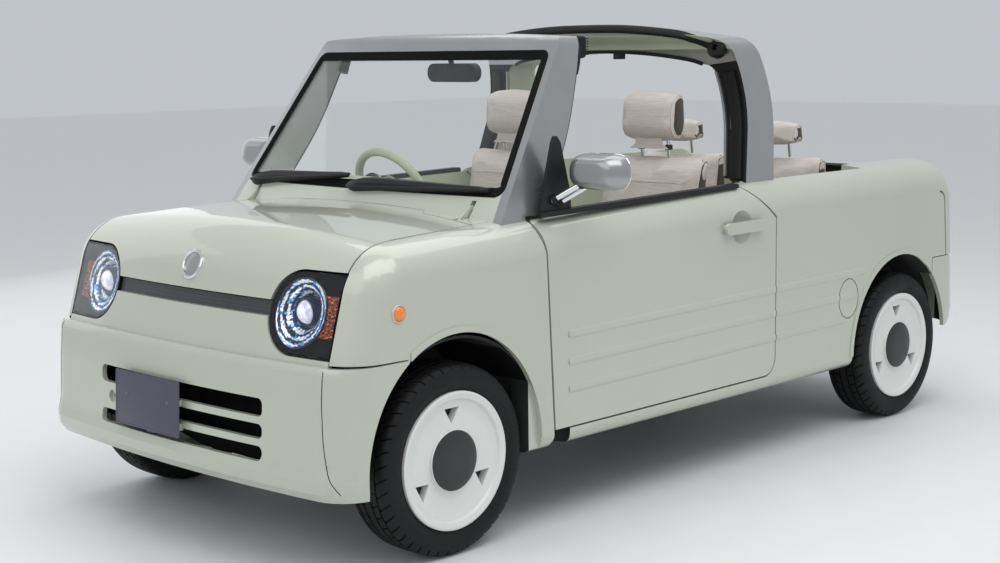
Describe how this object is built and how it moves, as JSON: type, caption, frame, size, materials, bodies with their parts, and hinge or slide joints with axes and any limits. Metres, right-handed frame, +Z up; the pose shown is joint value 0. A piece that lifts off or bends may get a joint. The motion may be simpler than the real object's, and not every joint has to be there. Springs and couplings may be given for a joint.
{
  "type": "open kei car",
  "caption": "Small open-topped car with a fixed windscreen frame, a roll hoop behind the front seats, rear seats and a short load deck with a drop tailgate.",
  "frame": {"origin": "on the ground under the middle of the car's box", "axes": "+X forward, +Y to the car's left, +Z up"},
  "size_m": [3.3949, 1.8192, 1.5079],
  "materials": {
    "body_paint": "gloss",
    "silver_paint": "satin metallic",
    "dark_plastic": "matt",
    "trim_gloss": "gloss",
    "lamp_lens": "clear",
    "red_lens": "gloss",
    "screen_glass": "clear",
    "floor_paint": "matt",
    "panel_paint": "matt",
    "dash_plastic": "satin",
    "seat_cloth": "woven",
    "steel": "plain",
    "iron": "rough",
    "alloy": "plain",
    "tank_plastic": "matt",
    "tyre_rubber": "matt",
    "wheel_paint": "satin"
  },
  "bodies": {
    "body": {"floor_pan": "floor_paint", "side_body_left": "body_paint", "side_body_right": "body_paint", "front_fenders": "body_paint", "bay_panels": "panel_paint", "nose_panel": "body_paint", "grille_bar": "trim_gloss", "radiator": "alloy", "front_bumper": "body_paint", "rear_bumper": "body_paint", "cowl_panel": "body_paint", "wipers": "dark_plastic", "windscreen_frame": "silver_paint", "windscreen": "screen_glass", "roll_hoop": "silver_paint", "headlamp_housings": "trim_gloss", "headlamp_lenses": "lamp_lens", "tail_lamps": "red_lens", "dashboard": "dash_plastic", "front_seats": "seat_cloth", "rear_seats": "seat_cloth", "rear_view_mirror": "dark_plastic", "front_subframe": "steel", "engine_block": "iron", "rear_axle": "steel", "exhaust": "steel", "fuel_tank": "tank_plastic"},
    "steering_wheel": {"steering_wheel": "dash_plastic"},
    "hood": {"hood": "body_paint"},
    "tailgate": {"tailgate": "body_paint"},
    "door_left": {"door_left": "body_paint", "belt_trim_left": "dark_plastic", "mirror_left": "silver_paint"},
    "door_right": {"door_right": "body_paint", "belt_trim_right": "dark_plastic", "mirror_right": "silver_paint"},
    "knuckle_left": {"knuckle_left": "iron"},
    "knuckle_right": {"knuckle_right": "iron"},
    "wheel_front_left": {"tyre_front_left": "tyre_rubber", "wheel_front_left": "wheel_paint"},
    "wheel_front_right": {"tyre_front_right": "tyre_rubber", "wheel_front_right": "wheel_paint"},
    "wheel_rear_left": {"tyre_rear_left": "tyre_rubber", "wheel_rear_left": "wheel_paint"},
    "wheel_rear_right": {"tyre_rear_right": "tyre_rubber", "wheel_rear_right": "wheel_paint"}
  },
  "joints": [
    {"name": "steer_left", "type": "hinge", "parent": "body", "child": "knuckle_left", "pos_m": [1.205, 0.6, 0.175], "axis": [0, -0.255, 0.9669], "range_deg": [-32, 32]},
    {"name": "steer_right", "type": "hinge", "parent": "body", "child": "knuckle_right", "pos_m": [1.205, -0.6, 0.175], "axis": [0, 0.255, 0.9669], "range_deg": [-32, 32]},
    {"name": "steering_wheel_turn", "type": "hinge", "parent": "body", "child": "steering_wheel", "pos_m": [0.468, -0.34, 0.935], "axis": [-0.8988, 0, 0.4384], "range_deg": [-450, 450]},
    {"name": "wheel_spin_front_left", "type": "hinge", "parent": "knuckle_left", "child": "wheel_front_left", "pos_m": [1.205, 0.6395, 0.28], "axis": [0, 1, 0], "continuous": true},
    {"name": "wheel_spin_front_right", "type": "hinge", "parent": "knuckle_right", "child": "wheel_front_right", "pos_m": [1.205, -0.6395, 0.28], "axis": [0, 1, 0], "continuous": true},
    {"name": "wheel_spin_rear_left", "type": "hinge", "parent": "body", "child": "wheel_rear_left", "pos_m": [-1.185, 0.6395, 0.28], "axis": [0, 1, 0], "continuous": true},
    {"name": "wheel_spin_rear_right", "type": "hinge", "parent": "body", "child": "wheel_rear_right", "pos_m": [-1.185, -0.6395, 0.28], "axis": [0, 1, 0], "continuous": true},
    {"name": "door_left_swing", "type": "hinge", "parent": "body", "child": "door_left", "pos_m": [0.772, 0.7015, 0.56], "axis": [0, 0, -1], "range_deg": [0, 65]},
    {"name": "door_right_swing", "type": "hinge", "parent": "body", "child": "door_right", "pos_m": [0.772, -0.7015, 0.56], "axis": [0, 0, 1], "range_deg": [0, 65]},
    {"name": "hood_lift", "type": "hinge", "parent": "body", "child": "hood", "pos_m": [0.925, 0, 0.965], "axis": [0, -1, 0], "range_deg": [0, 48]},
    {"name": "tailgate_drop", "type": "hinge", "parent": "body", "child": "tailgate", "pos_m": [-1.6295, 0, 0.636], "axis": [0, -1, 0], "range_deg": [0, 90]}
  ],
  "couplings": [
    {"joint": "steer_right", "follows": "steer_left", "ratio": 1},
    {"joint": "steering_wheel_turn", "follows": "steer_left", "ratio": 14}
  ]
}
